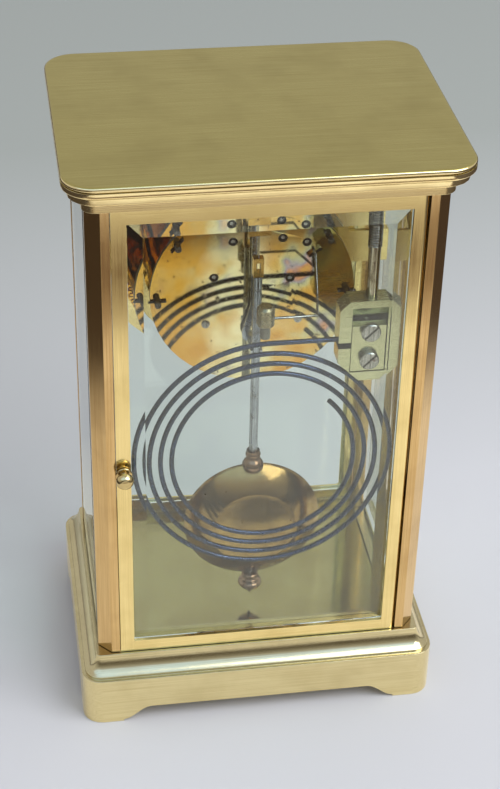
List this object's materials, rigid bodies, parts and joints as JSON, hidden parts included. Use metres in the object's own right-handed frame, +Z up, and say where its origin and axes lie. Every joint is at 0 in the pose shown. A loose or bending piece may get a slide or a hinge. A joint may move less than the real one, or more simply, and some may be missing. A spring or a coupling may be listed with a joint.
{
  "type": "four glass mantel clock",
  "caption": "Brass mantel clock with bevelled glass sides and doors, round striking movement, flat spiral gong and pendulum with a turned bob.",
  "frame": {"origin": "middle of the underside of the base, on the surface that the clock stands on", "axes": "+Z up, -Y towards the dial and the front door, +Y towards the gong and the rear door"},
  "size_m": [0.1566, 0.1196, 0.265],
  "materials": {
    "lacquered_brass": "lacquered, finely brushed",
    "aged_brass": "polished and darkened with age",
    "plate_brass": "polished with warm tarnish",
    "bevelled_glass": "clear, bevelled and polished",
    "blued_steel": "heat blued",
    "polished_steel": "polished",
    "white_enamel": "fired enamel on copper",
    "leather": "hard leather"
  },
  "bodies": {
    "case": {"base_plinth": "lacquered_brass", "floor_plate": "aged_brass", "pillar_front_left": "lacquered_brass", "pillar_front_right": "lacquered_brass", "pillar_rear_left": "lacquered_brass", "pillar_rear_right": "lacquered_brass", "cornice": "lacquered_brass", "lid_plate": "aged_brass", "side_glass_left": "bevelled_glass", "side_glass_right": "bevelled_glass", "rear_door_lower_pin": "polished_steel", "rear_door_upper_pin": "polished_steel", "front_door_lower_pin": "polished_steel", "front_door_upper_pin": "polished_steel", "back_plate": "plate_brass", "front_plate": "plate_brass", "movement_carrier": "lacquered_brass", "dial": "white_enamel", "bezel": "lacquered_brass", "suspension_cock": "aged_brass", "gong": "blued_steel", "gong_block": "lacquered_brass", "gong_clamp_plate": "lacquered_brass", "clamp_screw_upper": "polished_steel", "clamp_screw_lower": "polished_steel", "gong_rod": "polished_steel", "gong_rod_nut": "aged_brass"},
    "rear_door": {"rear_door_frame": "lacquered_brass", "rear_door_glass": "bevelled_glass"},
    "rear_latch": {"rear_door_knob": "lacquered_brass", "rear_door_latch": "lacquered_brass"},
    "front_door": {"front_door_frame": "lacquered_brass", "front_door_glass": "bevelled_glass"},
    "front_latch": {"front_door_knob": "lacquered_brass", "front_door_latch": "lacquered_brass"},
    "pendulum": {"suspension_spring": "polished_steel", "pendulum_hook": "aged_brass", "pendulum_rod": "polished_steel", "pendulum_collar": "aged_brass", "pendulum_bob": "aged_brass", "rating_nut": "aged_brass"},
    "escapement": {"pallets": "polished_steel", "crutch": "polished_steel"},
    "minute_train": {"centre_wheel": "plate_brass", "minute_hand": "blued_steel"},
    "hour_train": {"hour_wheel": "plate_brass", "hour_hand": "blued_steel"},
    "minute_wheel_body": {"minute_wheel": "plate_brass"},
    "third_wheel_body": {"third_wheel": "plate_brass"},
    "escape_wheel_body": {"escape_wheel": "plate_brass"},
    "going_barrel_body": {"going_barrel": "plate_brass"},
    "going_winding": {"going_winding_arbor": "polished_steel"},
    "strike_barrel_body": {"strike_barrel": "plate_brass"},
    "strike_winding": {"strike_winding_arbor": "polished_steel"},
    "pin_wheel_body": {"pin_wheel": "plate_brass"},
    "fly_body": {"fly": "plate_brass"},
    "hammer": {"hammer_arm": "polished_steel", "hammer_head": "lacquered_brass", "hammer_leather": "leather"}
  },
  "joints": [
    {"name": "rear_door_hinge", "type": "hinge", "parent": "case", "child": "rear_door", "pos_m": [-0.0586, 0.0497, 0.142], "axis": [0, 0, 1], "range_deg": [0, 95]},
    {"name": "rear_knob_turn", "type": "hinge", "parent": "rear_door", "child": "rear_latch", "pos_m": [0.05765, 0.0517, 0.13], "axis": [0, 1, 0], "range_deg": [-90, 0]},
    {"name": "front_door_hinge", "type": "hinge", "parent": "case", "child": "front_door", "pos_m": [0.0586, -0.0497, 0.142], "axis": [0, 0, 1], "range_deg": [0, 95]},
    {"name": "front_knob_turn", "type": "hinge", "parent": "front_door", "child": "front_latch", "pos_m": [-0.05765, -0.0517, 0.13], "axis": [0, -1, 0], "range_deg": [-90, 0]},
    {"name": "pendulum_swing", "type": "hinge", "parent": "case", "child": "pendulum", "pos_m": [0, 0.022, 0.22], "axis": [0, 1, 0], "range_deg": [-3.5, 3.5]},
    {"name": "pallet_rock", "type": "hinge", "parent": "case", "child": "escapement", "pos_m": [0, 0.01, 0.22], "axis": [0, 1, 0], "range_deg": [-3.5, 3.5]},
    {"name": "minute_hand_turn", "type": "hinge", "parent": "case", "child": "minute_train", "pos_m": [0, -0.03, 0.188], "axis": [0, 1, 0], "continuous": true},
    {"name": "hour_hand_turn", "type": "hinge", "parent": "case", "child": "hour_train", "pos_m": [0, -0.03, 0.188], "axis": [0, 1, 0], "continuous": true},
    {"name": "minute_wheel_turn", "type": "hinge", "parent": "case", "child": "minute_wheel_body", "pos_m": [0, -0.025, 0.177], "axis": [0, 1, 0], "continuous": true},
    {"name": "third_wheel_turn", "type": "hinge", "parent": "case", "child": "third_wheel_body", "pos_m": [0.016, 0, 0.196], "axis": [0, 1, 0], "continuous": true},
    {"name": "escape_wheel_turn", "type": "hinge", "parent": "case", "child": "escape_wheel_body", "pos_m": [0.0084, 0, 0.2122], "axis": [0, 1, 0], "continuous": true},
    {"name": "going_barrel_turn", "type": "hinge", "parent": "case", "child": "going_barrel_body", "pos_m": [0.0193, 0, 0.174], "axis": [0, 1, 0], "continuous": true},
    {"name": "going_arbor_wind", "type": "hinge", "parent": "case", "child": "going_winding", "pos_m": [0.0193, 0, 0.174], "axis": [0, 1, 0], "continuous": true},
    {"name": "strike_barrel_turn", "type": "hinge", "parent": "case", "child": "strike_barrel_body", "pos_m": [-0.0193, 0, 0.174], "axis": [0, 1, 0], "continuous": true},
    {"name": "strike_arbor_wind", "type": "hinge", "parent": "case", "child": "strike_winding", "pos_m": [-0.0193, 0, 0.174], "axis": [0, 1, 0], "continuous": true},
    {"name": "pin_wheel_turn", "type": "hinge", "parent": "case", "child": "pin_wheel_body", "pos_m": [-0.0154, 0, 0.1938], "axis": [0, 1, 0], "continuous": true},
    {"name": "fly_turn", "type": "hinge", "parent": "case", "child": "fly_body", "pos_m": [-0.0119, 0, 0.2127], "axis": [0, 1, 0], "continuous": true},
    {"name": "hammer_lift", "type": "hinge", "parent": "case", "child": "hammer", "pos_m": [-0.0219, 0, 0.2102], "axis": [0, 1, 0], "range_deg": [-12, 3]}
  ],
  "couplings": [
    {"joint": "pallet_rock", "follows": "pendulum_swing", "ratio": 1},
    {"joint": "hour_hand_turn", "follows": "minute_hand_turn", "ratio": 0.083333},
    {"joint": "minute_wheel_turn", "follows": "minute_hand_turn", "ratio": -0.33333},
    {"joint": "third_wheel_turn", "follows": "minute_hand_turn", "ratio": -4},
    {"joint": "escape_wheel_turn", "follows": "minute_hand_turn", "ratio": 16},
    {"joint": "going_barrel_turn", "follows": "minute_hand_turn", "ratio": -0.33333},
    {"joint": "pin_wheel_turn", "follows": "strike_barrel_turn", "ratio": -4},
    {"joint": "fly_turn", "follows": "strike_barrel_turn", "ratio": 8}
  ]
}
